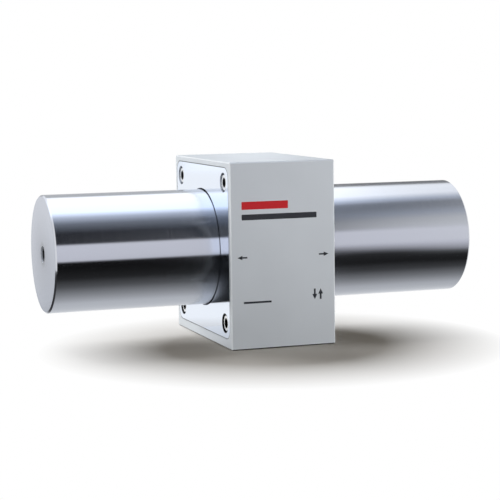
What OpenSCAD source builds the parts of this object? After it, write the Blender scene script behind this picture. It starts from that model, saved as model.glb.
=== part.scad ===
// Rotary torque sensor: a measuring shaft that runs through a square-sided case on two ball bearings.
// X runs along the shaft from the drive end to the load end, -Y is the front face, +Z is up.
// The origin is the middle of the case's base, which the sensor stands on.

/* [Housing] */
// Length of the case along the shaft
case_l = 102; // [98:1:130]
// Width of the case from front to back
case_w = 170; // [166:1:200]
// Height of the shaft axis above the base
axis_h = 88; // [86:1:110]
// Height of the top face above the shaft axis
case_top = 84; // [82:1:105]
// Thickness of the side and top walls beside the end plates
case_wall = 5; // [4:0.5:6]
// Thickness of the floor below the end plates
case_floor = 9; // [7:0.5:11]
// Flat chamfer along the outer edges of the case
case_edge = 1; // [0.4:0.1:2]
// Corner radius of the end plates and of their pockets
plate_corner_r = 10; // [6:0.5:13]
// Distance of the base holes along the shaft
base_pitch_x = 36; // [30:1:40]
// Distance of the base holes from front to back
base_pitch_y = 120; // [110:1:128]
// Drilled diameter of the tapped base holes
base_hole_d = 6.8; // [5:0.1:7]
// Depth of the tapped base holes
base_hole_depth = 14; // [10:0.5:15]

/* [Shaft] */
// Diameter of the two shaft ends
shaft_d = 110; // [100:1:114]
// Length of each shaft end outside the case
shaft_out = 155; // [60:1:220]
// Chamfer at the two ends of the shaft
shaft_chamfer = 1.5; // [0.5:0.1:4]
// Diameter of the torsion neck between the bearings
neck_d = 86; // [70:1:90]
// Fillet radius at both ends of the torsion neck
neck_fillet = 6; // [3:0.5:7]
// Radial height of the collars that the bearings seat against
collar_step = 5; // [4:0.5:5.5]
// Length of each collar
collar_l = 16; // [14:0.5:17]
// Depth of the retaining ring grooves in the shaft
clip_groove = 2; // [1.5:0.1:3]
// Diameter of the pilot hole of the lathe centres
centre_pilot_d = 6.3; // [4:0.1:8]
// Diameter of the mouth of the lathe centres
centre_mouth_d = 16; // [12:0.5:20]
// Depth of the pilot hole of the lathe centres
centre_depth = 22; // [16:1:30]

/* [Bearings] */
// Radial height of a bearing from bore to outside
bearing_section = 15; // [14.5:0.5:16]
// Width of a bearing
bearing_w = 16; // [15:0.5:18]
// Diameter of the balls
ball_d = 8.7; // [8:0.1:9]
// Number of balls in each bearing
ball_count = 26; // [18:1:27]
// Depth of the ball groove in each race
groove_depth = 2.4; // [2:0.1:2.7]
// Thickness of the bearing shields
shield_t = 0.8; // [0.5:0.1:1]
// Radial thickness of the ball cage
cage_t = 2.2; // [1.6:0.1:2.6]
// Thickness of the retaining rings
clip_t = 4; // [3:0.1:4.2]
// Radial width of the retaining rings
clip_w = 7; // [5:0.5:8]
// Room for the preload spring behind the load bearing
spring_room = 2.4; // [2:0.1:3]
// Sheet thickness of the preload spring
spring_t = 0.6; // [0.4:0.1:0.8]
// Number of waves in the preload spring
spring_waves = 3; // [2:1:6]

/* [End plates] */
// Thickness of the outer lip that hides the bearing
lip_t = 3; // [2:0.5:4]
// Room for the retaining ring between lip and bearing
clip_room = 5; // [4.6:0.1:6]
// Height of the shoulder that holds the outer race
seat_shoulder = 6; // [4:0.5:6.5]
// Distance of the screws from the edges of the plate
screw_inset = 14; // [12:0.5:15]
// Thread diameter of the plate screws
screw_d = 10; // [8:1:10]
// Head diameter of the plate screws
screw_head_d = 16; // [13:0.5:17]
// Head height of the plate screws
screw_head_h = 10; // [8:0.5:10]
// Length of the plate screws below the head
screw_l = 30; // [26:1:32]
// Width across the flats of the screw sockets
socket_flats = 8; // [6:0.5:8.5]
// Depth of the screw sockets
socket_depth = 5; // [4:0.5:6]
// How far the screw heads lie below the plate
head_sink = 1; // [0.5:0.1:2]

/* [Rotary transformer] */
// Radial height of the rotor cores
rotor_core_h = 7; // [6:0.5:7.5]
// Radial height of the stator cores
stator_core_h = 7.2; // [6.5:0.1:7.5]
// Length of the rotor cores along the shaft
rotor_core_l = 9; // [8:0.5:9.5]
// Length of the stator cores along the shaft
stator_core_l = 12; // [11:0.5:12.5]
// Wall of the cores round their winding
core_wall = 2; // [1.5:0.1:2.5]
// Step in the case bore that the stator cores rest against
stator_step = 2; // [1:0.1:3]

/* [Speed sensing] */
// Outer diameter of the slotted speed ring
speed_ring_d = 140; // [136:1:142]
// Thickness of the slotted flange and of the hub wall
speed_ring_t = 1.5; // [1:0.1:2]
// Number of slots round the speed ring
slot_count = 60; // [30:1:72]
// Radial depth of the slots
slot_depth = 4; // [3:0.5:4.5]
// How far the pickup reaches over the speed ring
pickup_overlap = 4.5; // [3:0.5:5]
// Wall of the pickup on each side of the ring
pickup_wall = 2.3; // [1.5:0.1:3]
// Height of the pickup
pickup_h = 12; // [8:1:16]

/* [Electronics] */
// Thickness of the circuit boards
board_t = 1.6; // [1:0.1:2]
// Length of the main board along the shaft
board_l = 44; // [40:1:46]
// Height of the main board
board_h = 84; // [80:1:90]
// Height of the stand-offs under the main board
standoff_h = 2.4; // [2:0.1:3]
// Width across the flats of the stand-offs
standoff_flats = 5.5; // [5:0.1:6]
// Thread diameter of the small screws
small_screw_d = 3; // [2.5:0.1:3]
// Distance of the stand-offs from the board's edges
standoff_inset = 4; // [3.5:0.1:5]
// Length of the bay for the main board along the shaft
bay_l = 50; // [48:1:51]
// Height of the bay for the main board
bay_h = 92; // [90:1:100]
// Length of the strain gauges along the shaft
gauge_l = 8; // [5:0.5:9]
// Angle that each strain gauge covers round the neck
gauge_angle = 12; // [6:1:20]
// Thickness of the bonded strain gauges
gauge_t = 0.3; // [0.2:0.05:0.5]
// Radial gap of the rotor board to the neck fillet
rotor_board_in = 2; // [1:0.5:4]
// Length of the spacers under the rotor board
rotor_spacer_l = 3; // [2:0.5:4]
// Space between the two halves of the rotor board
rotor_split = 1; // [0.5:0.1:2]

/* [Connectors] */
// Height of each connector above and below the shaft axis
connector_rise = 28; // [24:1:30]
// Side of the square connector flange
flange_w = 22; // [20:0.5:24]
// Thickness of the connector flange
flange_t = 2.5; // [2:0.1:4]
// Corner radius of the connector flange
flange_r = 2.5; // [1.5:0.1:3]
// Distance between the flange screws
flange_pitch = 16.4; // [16:0.1:17]
// Outer diameter of the connector barrel
barrel_d = 15; // [13:0.1:15.4]
// Length of the connector barrel
barrel_l = 9; // [6:0.5:14]
// Wall of the connector barrel
barrel_wall = 1.2; // [0.8:0.1:1.8]
// Diameter of the connector body inside the case
body_d = 13.6; // [11:0.1:14]
// Length of the connector body behind its flange
body_l = 12; // [10:0.5:14]
// Thickness of the gasket under the flange
gasket_t = 1; // [0.5:0.1:1.5]
// Diameter of the contact holes
contact_d = 1.4; // [0.8:0.1:1.6]
// How far the insert lies below the barrel's rim
insert_recess = 1; // [0.5:0.1:2]

/* [Clearances] */
// Clearance between the end plates and their pockets
plate_gap = 0.3; // [0.1:0.05:0.6]
// Radial gap between the shaft and the plate lips
shaft_gap = 1.25; // [0.8:0.05:2]
// Radial running clearance of the balls in each race
ball_clear = 0.1; // [0.08:0.01:0.15]
// Clearance of the balls in the cage pockets
pocket_clear = 0.2; // [0.1:0.05:0.3]
// Radial air gap between rotor and stator cores
air_gap = 0.6; // [0.4:0.1:1]
// Clearance between parts that turn and the parts beside them
run_gap = 1; // [0.6:0.1:1.2]
// Radial gap of seated rings and screws
seat_gap = 0.05; // [0.02:0.01:0.1]
// Radial clearance of the holes that screws pass through
screw_clear = 0.5; // [0.3:0.1:0.8]

/* [Hidden] */
$fn = 96;
// Length by which cutting shapes run past the faces they cut
past = 2;

// Stations along the shaft, counted from the middle of the case
plate_t = lip_t + clip_room + bearing_w;
x_face = case_l / 2;
x_plate = x_face - plate_t;
x_bearing = x_plate + bearing_w;
x_lip = x_face - lip_t;
x_collar = x_plate - collar_l;
x_core = x_plate - run_gap;
x_winding_0 = x_core - rotor_core_l + core_wall;
x_winding_1 = x_core - core_wall;
x_stator = x_plate - stator_core_l;
shaft_l = case_l + 2 * shaft_out;

// Radii about the shaft axis
shaft_r = shaft_d / 2;
collar_r = shaft_r + collar_step;
bearing_r = shaft_r + bearing_section;
pitch_r = shaft_r + bearing_section / 2;
ball_r = ball_d / 2;
groove_r = 0.52 * ball_d;
inner_land_r = pitch_r - ball_r - ball_clear + groove_depth;
outer_land_r = pitch_r + ball_r + ball_clear - groove_depth;
clip_r = shaft_r - clip_groove;
recess_r = bearing_r - seat_shoulder;
rotor_r = collar_r + rotor_core_h;
stator_in_r = rotor_r + air_gap;
stator_r = stator_in_r + stator_core_h;
stator_seat_r = stator_r + seat_gap;
centre_bore_r = stator_seat_r - stator_step;
speed_ring_r = speed_ring_d / 2;
neck_r = neck_d / 2;

// Heights and widths of the end plates and the case, from the shaft axis
plate_half_w = case_w / 2 - case_wall;
plate_low = case_floor - axis_h;
plate_high = case_top - case_wall;
wall_y = case_w / 2 - case_wall;
board_y = wall_y - standoff_h - board_t;
screw_places = [
    for (y = [-1, 1], z = [plate_low + screw_inset, plate_high - screw_inset])
        [y * (plate_half_w - screw_inset), z]
];
counterbore_depth = screw_head_h + head_sink;
screw_reach = screw_l - (plate_t - counterbore_depth);
tap_spare = 5;

// Stations of the speed ring, which hangs off the load collar towards the middle
x_speed_hub = x_core - rotor_core_l;
speed_overhang = 3;
x_speed = x_collar - speed_overhang;
speed_hub_t = 2.5;

// Places of the stand-offs and of the rotor board's screws
standoff_places = [
    for (x = [-1, 1], z = [-1, 1])
        [x * (board_l / 2 - standoff_inset), z * (board_h / 2 - standoff_inset)]
];
rotor_board_r0 = neck_r + neck_fillet + rotor_board_in;
rotor_board_r1 = collar_r - run_gap;
rotor_screw_r = (rotor_board_r0 + rotor_board_r1) / 2;
rotor_screw_angles = [45, 135, 225, 315];
x_rotor_board = x_collar - rotor_spacer_l - board_t;
rotor_screw_d = 2.5;
rotor_screw_reach = 5;

// Sizes of the connectors, whose flanges lie on gaskets on the back of the case
connector_y = case_w / 2 + gasket_t;
connector_places = [connector_rise, -connector_rise];
flange_screw_places = [
    for (x = [-1, 1], z = [-1, 1]) [x * flange_pitch / 2, z * flange_pitch / 2]
];
flange_screw_reach = 3.5;

// Moves from the base to the shaft axis
module on_axis() {
    translate([0, 0, axis_h]) children();
}

// Turns a drawing of radius and station about the shaft axis
module turned() {
    on_axis() rotate([0, 90, 0]) rotate_extrude() children();
}

// Drives a flat outline of Y and Z along the shaft from x0 to x1
module along_shaft(x0, x1) {
    on_axis() translate([x0, 0, 0]) rotate([90, 0, 90]) linear_extrude(x1 - x0) children();
}

// Stands a shape that is drawn along +Z on the back of the case, pointing out
module on_back(x, y, z) {
    on_axis() translate([x, y, z]) rotate([-90, 0, 0]) children();
}

// The drive end is the mirror image of the load end
module at_drive_end() {
    mirror([1, 0, 0]) children();
}

// Drawing of a ring's section between two radii and two stations
module section(r0, r1, x0, x1) {
    translate([r0, x0]) square([r1 - r0, x1 - x0]);
}

// Plain ring about the shaft axis
module ring(r0, r1, x0, x1) {
    turned() section(r0, r1, x0, x1);
}

// Round bar about the shaft axis
module bar(r, x0, x1) {
    along_shaft(x0, x1) circle(r);
}

// Rectangle with chamfered corners, middle at the origin
module chamfered_rectangle(w, h, c) {
    polygon([
        [-w / 2 + c, -h / 2], [w / 2 - c, -h / 2], [w / 2, -h / 2 + c], [w / 2, h / 2 - c],
        [w / 2 - c, h / 2], [-w / 2 + c, h / 2], [-w / 2, h / 2 - c], [-w / 2, -h / 2 + c]
    ]);
}

// Rectangle with round corners between two opposite corner points
module rounded_rectangle(low, high, r) {
    translate([low[0] + r, low[1]]) square([high[0] - low[0] - 2 * r, high[1] - low[1]]);
    translate([low[0], low[1] + r]) square([high[0] - low[0], high[1] - low[1] - 2 * r]);
    for (x = [low[0] + r, high[0] - r], y = [low[1] + r, high[1] - r]) {
        translate([x, y]) circle(r);
    }
}

// Outline of an end plate, grown by a gap on all sides
module plate_outline(gap) {
    rounded_rectangle(
        [-plate_half_w - gap, plate_low - gap], [plate_half_w + gap, plate_high + gap],
        plate_corner_r + gap
    );
}

// Block with all twelve edges chamfered, standing on the base
module case_block() {
    h = axis_h + case_top;
    translate([0, 0, h / 2]) intersection() {
        rotate([90, 0, 90]) linear_extrude(case_l, center = true) {
            chamfered_rectangle(case_w, h, case_edge);
        }
        rotate([90, 0, 0]) linear_extrude(case_w, center = true) {
            chamfered_rectangle(case_l, h, case_edge);
        }
        linear_extrude(h, center = true) chamfered_rectangle(case_l, case_w, case_edge);
    }
}

// Everything that is cut into the load half of the case
module case_end_cuts() {
    along_shaft(x_plate, x_face + past) plate_outline(plate_gap);
    bar(stator_seat_r, x_stator, x_plate + past);
    for (p = screw_places) {
        along_shaft(x_plate - screw_reach - tap_spare, x_plate + past) {
            translate(p) circle(d = screw_d + 2 * seat_gap);
        }
    }
}

// Bay for the main board, with the ways out for both connectors
module case_bay_cuts() {
    on_axis() translate([-bay_l / 2, 0, -bay_h / 2]) cube([bay_l, wall_y, bay_h]);
    for (z = connector_places) {
        on_back(0, wall_y - past, z) cylinder(d = body_d + 2 * seat_gap, h = case_wall + 2 * past);
        for (p = flange_screw_places) {
            on_back(p[0], case_w / 2 - flange_screw_reach - past / 2, z + p[1]) {
                cylinder(d = small_screw_d + 2 * seat_gap, h = flange_screw_reach + past);
            }
        }
    }
}

// The case is a bored block with square pockets for the end plates
module case() {
    color("silver") difference() {
        case_block();
        case_end_cuts();
        at_drive_end() case_end_cuts();
        bar(centre_bore_r, -x_plate, x_plate);
        case_bay_cuts();
        for (x = [-1, 1], y = [-1, 1]) {
            translate([x * base_pitch_x / 2, y * base_pitch_y / 2, -past]) {
                cylinder(d = base_hole_d, h = base_hole_depth + past);
            }
        }
    }
}

// End plate of the load end: it carries a bearing behind its lip
module end_plate(spring) {
    difference() {
        along_shaft(x_plate, x_face) plate_outline(0);
        bar(shaft_r + shaft_gap, x_plate - past, x_face + past);
        bar(recess_r, x_plate - past, x_lip);
        bar(bearing_r + seat_gap, x_plate - past, x_bearing + spring);
        for (p = screw_places) {
            along_shaft(x_plate - past, x_face + past) {
                translate(p) circle(d = screw_d + 2 * screw_clear);
            }
            along_shaft(x_face - counterbore_depth, x_face + past) {
                translate(p) circle(d = screw_head_d + 4 * screw_clear);
            }
        }
    }
}

module drive_end_plate() {
    color("gainsboro") at_drive_end() end_plate(0);
}

module load_end_plate() {
    color("gainsboro") end_plate(spring_room);
}

// Socket head cap screw along +Z with the underside of its head at the origin
module cap_screw(d, l, head_d, head_h, flats, depth) {
    head_edge = head_h / 10;
    difference() {
        rotate_extrude() polygon([
            [0, -l], [d / 2 - head_edge, -l], [d / 2, -l + head_edge], [d / 2, 0], [head_d / 2, 0],
            [head_d / 2, head_h - head_edge], [head_d / 2 - head_edge, head_h], [0, head_h]
        ]);
        translate([0, 0, head_h - depth]) cylinder(d = flats / cos(30), h = depth + past, $fn = 6);
    }
}

// The four screws of the load end plate
module plate_screws() {
    for (p = screw_places) {
        on_axis() translate([x_face - counterbore_depth, p[0], p[1]]) rotate([0, 90, 0]) {
            cap_screw(screw_d, screw_l, screw_head_d, screw_head_h, socket_flats, socket_depth);
        }
    }
}

module drive_plate_screws() {
    color("dimgray") at_drive_end() plate_screws();
}

module load_plate_screws() {
    color("dimgray") plate_screws();
}

// Section of the load half of the shaft
module half_shaft_section() {
    x_end = shaft_l / 2;
    mouth_depth = (centre_mouth_d - centre_pilot_d) / 2 / tan(30);
    difference() {
        polygon([
            [0, 0], [collar_r, 0], [collar_r, x_plate], [shaft_r, x_plate], [shaft_r, x_bearing],
            [clip_r, x_bearing], [clip_r, x_bearing + clip_t + seat_gap],
            [shaft_r, x_bearing + clip_t + seat_gap], [shaft_r, x_end - shaft_chamfer],
            [shaft_r - shaft_chamfer, x_end], [0, x_end]
        ]);
        polygon([
            [0, x_end - centre_depth], [centre_pilot_d / 2, x_end - centre_depth],
            [centre_pilot_d / 2, x_end - mouth_depth], [centre_mouth_d / 2, x_end], [0, x_end]
        ]);
    }
}

// Section of the groove that leaves the torsion neck
module neck_groove_section() {
    x_corner = x_collar - neck_fillet;
    section(neck_r + neck_fillet, collar_r + past, -x_collar, x_collar);
    section(neck_r, neck_r + 2 * neck_fillet, -x_corner, x_corner);
    for (x = [-x_corner, x_corner]) {
        translate([neck_r + neck_fillet, x]) circle(neck_fillet);
    }
}

// Measuring shaft: one turned piece with a torsion neck between two collars
module torsion_shaft() {
    color("lightsteelblue") difference() {
        turned() difference() {
            union() {
                half_shaft_section();
                mirror([0, 1]) half_shaft_section();
            }
            neck_groove_section();
        }
        for (a = rotor_screw_angles) {
            at_rotor_screw(a, x_collar - past) cylinder(d = rotor_screw_d + 2 * seat_gap,
                h = rotor_screw_reach + past);
        }
    }
}

// Places a shape drawn along +Z at one of the rotor board's screws, pointing to the load end
module at_rotor_screw(angle, x) {
    on_axis() rotate([angle, 0, 0]) translate([x, 0, rotor_screw_r]) rotate([0, 90, 0]) children();
}

// Four foil gauges bonded round the middle of the neck
module strain_gauges() {
    color("goldenrod") for (a = [0, 90, 180, 270]) {
        on_axis() rotate([a, 0, 0]) rotate([0, 90, 0]) translate([0, 0, -gauge_l / 2]) {
            rotate([0, 0, -gauge_angle / 2]) rotate_extrude(angle = gauge_angle) {
                translate([neck_r, 0]) square([gauge_t, gauge_l]);
            }
        }
    }
}

// Inner race of the load bearing, a close fit on the shaft
module inner_race() {
    turned() difference() {
        section(shaft_r + seat_gap / 2, inner_land_r, x_plate, x_bearing);
        translate([pitch_r - ball_r - ball_clear + groove_r, (x_plate + x_bearing) / 2]) circle(groove_r);
    }
}

// Outer race of the load bearing, seated in the end plate
module outer_race() {
    turned() difference() {
        section(outer_land_r, bearing_r, x_plate, x_bearing);
        translate([pitch_r + ball_r + ball_clear - groove_r, (x_plate + x_bearing) / 2]) circle(groove_r);
    }
}

module drive_inner_race() {
    color("lightgray") at_drive_end() inner_race();
}

module load_inner_race() {
    color("lightgray") inner_race();
}

module drive_outer_race() {
    color("lightgray") at_drive_end() outer_race();
}

module load_outer_race() {
    color("lightgray") outer_race();
}

// Repeats a shape drawn at the top of the load bearing at the place of each ball
module at_each_ball() {
    for (i = [0 : ball_count - 1]) {
        on_axis() rotate([i * 360 / ball_count, 0, 0]) {
            translate([(x_plate + x_bearing) / 2, 0, pitch_r]) children();
        }
    }
}

// Cage: a ring with a round pocket for each ball
module ball_cage() {
    rail = 1.6;
    half_w = ball_r + pocket_clear + rail;
    x_mid = (x_plate + x_bearing) / 2;
    difference() {
        ring(pitch_r - cage_t / 2, pitch_r + cage_t / 2, x_mid - half_w, x_mid + half_w);
        at_each_ball() cylinder(r = ball_r + pocket_clear, h = 2 * ball_r, center = true);
    }
}

module drive_cage() {
    color("darkgoldenrod") at_drive_end() ball_cage();
}

module load_cage() {
    color("darkgoldenrod") ball_cage();
}

module drive_balls() {
    color("white") at_drive_end() at_each_ball() sphere(ball_r);
}

module load_balls() {
    color("white") at_each_ball() sphere(ball_r);
}

// Two thin shields in the outer race, clear of the inner race
module shields() {
    inset = 0.5;
    shield_gap = 0.3;
    for (x = [x_plate + inset, x_bearing - inset - shield_t]) {
        ring(inner_land_r + shield_gap, outer_land_r, x, x + shield_t);
    }
}

module drive_shields() {
    color("gray") at_drive_end() shields();
}

module load_shields() {
    color("gray") shields();
}

// Outline of a retaining ring: widest at the bottom, with two drilled lugs at the gap
module clip_outline() {
    offset_down = 1;
    lug_r = 3.2;
    lug_angle = 7;
    lug_place = clip_r + lug_r + offset_down;
    difference() {
        union() {
            translate([0, -offset_down]) circle(clip_r + clip_w);
            for (a = [-lug_angle, lug_angle]) {
                rotate(a) translate([0, lug_place]) circle(lug_r);
            }
        }
        circle(clip_r + seat_gap);
        for (a = [-lug_angle, lug_angle]) {
            rotate(a) translate([0, lug_place]) circle(d = lug_r);
        }
        translate([-lug_r, 0]) square([2 * lug_r, 2 * shaft_r]);
    }
}

module drive_retaining_ring() {
    color("dimgray") at_drive_end() along_shaft(x_bearing, x_bearing + clip_t) clip_outline();
}

module load_retaining_ring() {
    color("dimgray") along_shaft(x_bearing, x_bearing + clip_t) clip_outline();
}

// Wave spring that loads the outer race of the load bearing
module preload_spring() {
    steps = 72;
    free_play = 0.02;
    edge = 0.6;
    swing = (spring_room - spring_t) / 2 - free_play;
    x_mid = x_bearing + spring_room / 2;
    radii = [recess_r + edge, bearing_r - edge];
    corners = [[0, -1], [1, -1], [1, 1], [0, 1]];
    points = [
        for (i = [0 : steps - 1], c = corners)
            let (a = i * 360 / steps, r = radii[c[0]])
                [x_mid + swing * sin(spring_waves * a) + c[1] * spring_t / 2, r * sin(a), r * cos(a)]
    ];
    faces = [
        for (i = [0 : steps - 1], k = [0 : 3])
            let (a = 4 * i + k, b = 4 * i + (k + 1) % 4, next = 4 * ((i + 1) % steps))
                each [[a, next + k, b], [b, next + k, next + (k + 1) % 4]]
    ];
    color("slategray") on_axis() polyhedron(points, faces);
}

// Rotor core on a collar, with its winding groove facing out
module rotor_core() {
    turned() difference() {
        section(collar_r + seat_gap / 2, rotor_r, x_core - rotor_core_l, x_core);
        section(collar_r + core_wall, rotor_r + past, x_winding_0, x_winding_1);
    }
}

// Winding in the groove of a rotor core
module rotor_coil() {
    ring(collar_r + core_wall, rotor_r - air_gap, x_winding_0, x_winding_1);
}

// Stator core held between the end plate and a step in the case bore, with its groove facing in
module stator_core() {
    turned() difference() {
        section(stator_in_r, stator_r, x_stator, x_plate);
        section(stator_in_r - past, stator_r - core_wall, x_winding_0, x_winding_1);
    }
}

// Winding in the groove of a stator core
module stator_coil() {
    ring(stator_in_r + air_gap, stator_r - core_wall, x_winding_0, x_winding_1);
}

module supply_rotor_core() {
    color("darkslategray") at_drive_end() rotor_core();
}

module signal_rotor_core() {
    color("darkslategray") rotor_core();
}

module supply_rotor_coil() {
    color("chocolate") at_drive_end() rotor_coil();
}

module signal_rotor_coil() {
    color("chocolate") rotor_coil();
}

module supply_stator_core() {
    color("darkslategray") at_drive_end() stator_core();
}

module signal_stator_core() {
    color("darkslategray") stator_core();
}

module supply_stator_coil() {
    color("chocolate") at_drive_end() stator_coil();
}

module signal_stator_coil() {
    color("chocolate") stator_coil();
}

// Speed ring: a hub on the load collar with a slotted flange
module speed_ring() {
    slot_w = PI * speed_ring_d / slot_count / 2;
    color("dimgray") difference() {
        turned() {
            section(collar_r + seat_gap / 2, collar_r + speed_hub_t, x_speed, x_speed_hub);
            section(collar_r + seat_gap / 2, speed_ring_r, x_speed, x_speed + speed_ring_t);
        }
        for (i = [0 : slot_count - 1]) {
            on_axis() rotate([i * 360 / slot_count, 0, 0]) {
                translate([x_speed - past, -slot_w / 2, speed_ring_r - slot_depth]) {
                    cube([speed_ring_t + 2 * past, slot_w, slot_depth + past]);
                }
            }
        }
    }
}

// Fork light barrier on the main board, astride the rim of the speed ring
module speed_pickup() {
    fork_gap = speed_ring_t + 2 * run_gap;
    x_fork = x_speed - run_gap;
    y_tip = speed_ring_r - pickup_overlap;
    color("black") on_axis() difference() {
        translate([x_fork - pickup_wall, y_tip, -pickup_h / 2]) {
            cube([fork_gap + 2 * pickup_wall, board_y - y_tip, pickup_h]);
        }
        translate([x_fork, y_tip - past, -pickup_h / 2 - past]) {
            cube([fork_gap, pickup_overlap + run_gap + past, pickup_h + 2 * past]);
        }
    }
}

// Rotor board in two halves, so that it goes round the neck between the collars
module rotor_board() {
    color("darkgreen") difference() {
        ring(rotor_board_r0, rotor_board_r1, x_rotor_board, x_rotor_board + board_t);
        on_axis() translate([x_rotor_board - past, -rotor_board_r1 - past, -rotor_split / 2]) {
            cube([board_t + 2 * past, 2 * (rotor_board_r1 + past), rotor_split]);
        }
        for (a = rotor_screw_angles) {
            at_rotor_screw(a, x_rotor_board - past) {
                cylinder(d = rotor_screw_d + 2 * seat_gap, h = board_t + 2 * past);
            }
        }
    }
}

// Chips on the rotor board, one on each side of every screw
module rotor_board_parts() {
    chip = [1.8, 7, 5];
    chip_angle = 25;
    color("black") for (a = rotor_screw_angles, side = [-1, 1]) {
        on_axis() rotate([a + side * chip_angle, 0, 0]) {
            translate([x_rotor_board - chip[0], -chip[1] / 2, rotor_screw_r - chip[2] / 2]) cube(chip);
        }
    }
}

module rotor_board_spacers() {
    spacer_wall = 1;
    color("gold") for (a = rotor_screw_angles) {
        at_rotor_screw(a, x_collar - rotor_spacer_l) difference() {
            cylinder(d = rotor_screw_d + 2 * seat_gap + 2 * spacer_wall, h = rotor_spacer_l);
            translate([0, 0, -past]) {
                cylinder(d = rotor_screw_d + 2 * seat_gap, h = rotor_spacer_l + 2 * past);
            }
        }
    }
}

// Pan head screw along +Z, from the underside of its head at the origin down to its tip
module pan_screw(d, l) {
    head_r = 0.95 * d;
    head_h = 0.7 * d;
    slot = [3 * head_r, 0.25 * d, 0.35 * d];
    difference() {
        union() {
            translate([0, 0, -l]) cylinder(d = d, h = l + head_h / 2);
            rotate_extrude() intersection() {
                translate([0, head_h - 2 * head_r]) circle(2 * head_r);
                square([head_r, head_h]);
            }
        }
        translate([-slot[0] / 2, -slot[1] / 2, head_h - slot[2]]) cube([slot[0], slot[1], slot[2] + past]);
    }
}

module rotor_board_screws() {
    color("silver") for (a = rotor_screw_angles) {
        at_rotor_screw(a, x_rotor_board) mirror([0, 0, 1]) {
            pan_screw(rotor_screw_d, board_t + rotor_spacer_l + rotor_screw_reach - past / 2);
        }
    }
}

// Main board on the inside of the back wall, with ways through for both connectors
module main_board() {
    color("darkgreen") difference() {
        on_axis() translate([-board_l / 2, board_y, -board_h / 2]) cube([board_l, board_t, board_h]);
        for (z = connector_places) {
            on_back(0, board_y - past, z) cylinder(d = body_d + 2 * screw_clear, h = board_t + 2 * past);
        }
        for (p = standoff_places) {
            on_back(p[0], board_y - past, p[1]) {
                cylinder(d = small_screw_d + 2 * seat_gap, h = board_t + 2 * past);
            }
        }
    }
}

// Chips and capacitors on the inner side of the main board
module main_board_parts() {
    processor = [10, 2, 10];
    driver = [6, 2, 9];
    can_d = 6;
    can_h = 4;
    row_rise = 13;
    driver_x = -12;
    can_x = -2;
    color("black") on_axis() {
        translate([-processor[0], board_y - processor[1], -processor[2] / 2]) cube(processor);
        for (z = [-row_rise, row_rise]) {
            translate([driver_x, board_y - driver[1], z - driver[2] / 2]) cube(driver);
            translate([can_x, board_y, z]) rotate([90, 0, 0]) cylinder(d = can_d, h = can_h);
        }
    }
}

module board_standoffs() {
    color("gold") for (p = standoff_places) {
        on_back(p[0], board_y + board_t, p[1]) difference() {
            cylinder(d = standoff_flats / cos(30), h = standoff_h, $fn = 6);
            translate([0, 0, -past]) cylinder(d = small_screw_d + 2 * seat_gap, h = standoff_h + 2 * past);
        }
    }
}

module board_screws() {
    color("silver") for (p = standoff_places) {
        on_back(p[0], board_y, p[1]) mirror([0, 0, 1]) {
            pan_screw(small_screw_d, board_t + standoff_h - seat_gap);
        }
    }
}

// Square outline of a connector flange with its four screw holes and a round middle hole
module flange_outline(middle_d) {
    difference() {
        rounded_rectangle([-flange_w / 2, -flange_w / 2], [flange_w / 2, flange_w / 2], flange_r);
        circle(d = middle_d);
        for (p = flange_screw_places) {
            translate(p) circle(d = small_screw_d + screw_clear);
        }
    }
}

// Connector shell: flange, barrel outside and body inside the case
module connector_shell(z) {
    insert_d = barrel_d - 2 * barrel_wall;
    color("lightgray") on_back(0, connector_y, z) {
        linear_extrude(flange_t) flange_outline(insert_d);
        translate([0, 0, flange_t]) linear_extrude(barrel_l) difference() {
            circle(d = barrel_d);
            circle(d = insert_d);
        }
        translate([0, 0, -body_l]) linear_extrude(body_l) difference() {
            circle(d = body_d);
            circle(d = insert_d);
        }
    }
}

// Connector insert with a ring of contact holes and some in the middle
module connector_insert(z, outer_count, inner_count) {
    insert_r = barrel_d / 2 - barrel_wall - seat_gap;
    insert_l = body_l + flange_t + barrel_l - insert_recess;
    contact_depth = 6;
    outer_ring_r = 0.7 * insert_r;
    inner_ring_r = inner_count > 1 ? 0.28 * insert_r : 0;
    color("black") on_back(0, connector_y - body_l, z) difference() {
        cylinder(r = insert_r, h = insert_l);
        for (i = [0 : outer_count - 1]) {
            rotate(i * 360 / outer_count) translate([outer_ring_r, 0, insert_l - contact_depth]) {
                cylinder(d = contact_d, h = contact_depth + past);
            }
        }
        for (i = [0 : inner_count - 1]) {
            rotate(i * 360 / inner_count) translate([inner_ring_r, 0, insert_l - contact_depth]) {
                cylinder(d = contact_d, h = contact_depth + past);
            }
        }
    }
}

module supply_connector_shell() {
    connector_shell(connector_places[0]);
}

module signal_connector_shell() {
    connector_shell(connector_places[1]);
}

module supply_connector_insert() {
    connector_insert(connector_places[0], 5, 1);
}

module signal_connector_insert() {
    connector_insert(connector_places[1], 9, 3);
}

module connector_gaskets() {
    color("black") for (z = connector_places) {
        on_back(0, connector_y - gasket_t, z) linear_extrude(gasket_t) {
            flange_outline(body_d + 2 * seat_gap);
        }
    }
}

module connector_screws() {
    color("silver") for (z = connector_places, p = flange_screw_places) {
        on_back(p[0], connector_y + flange_t, z + p[1]) {
            pan_screw(small_screw_d, flange_t + gasket_t + flange_screw_reach);
        }
    }
}

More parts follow.
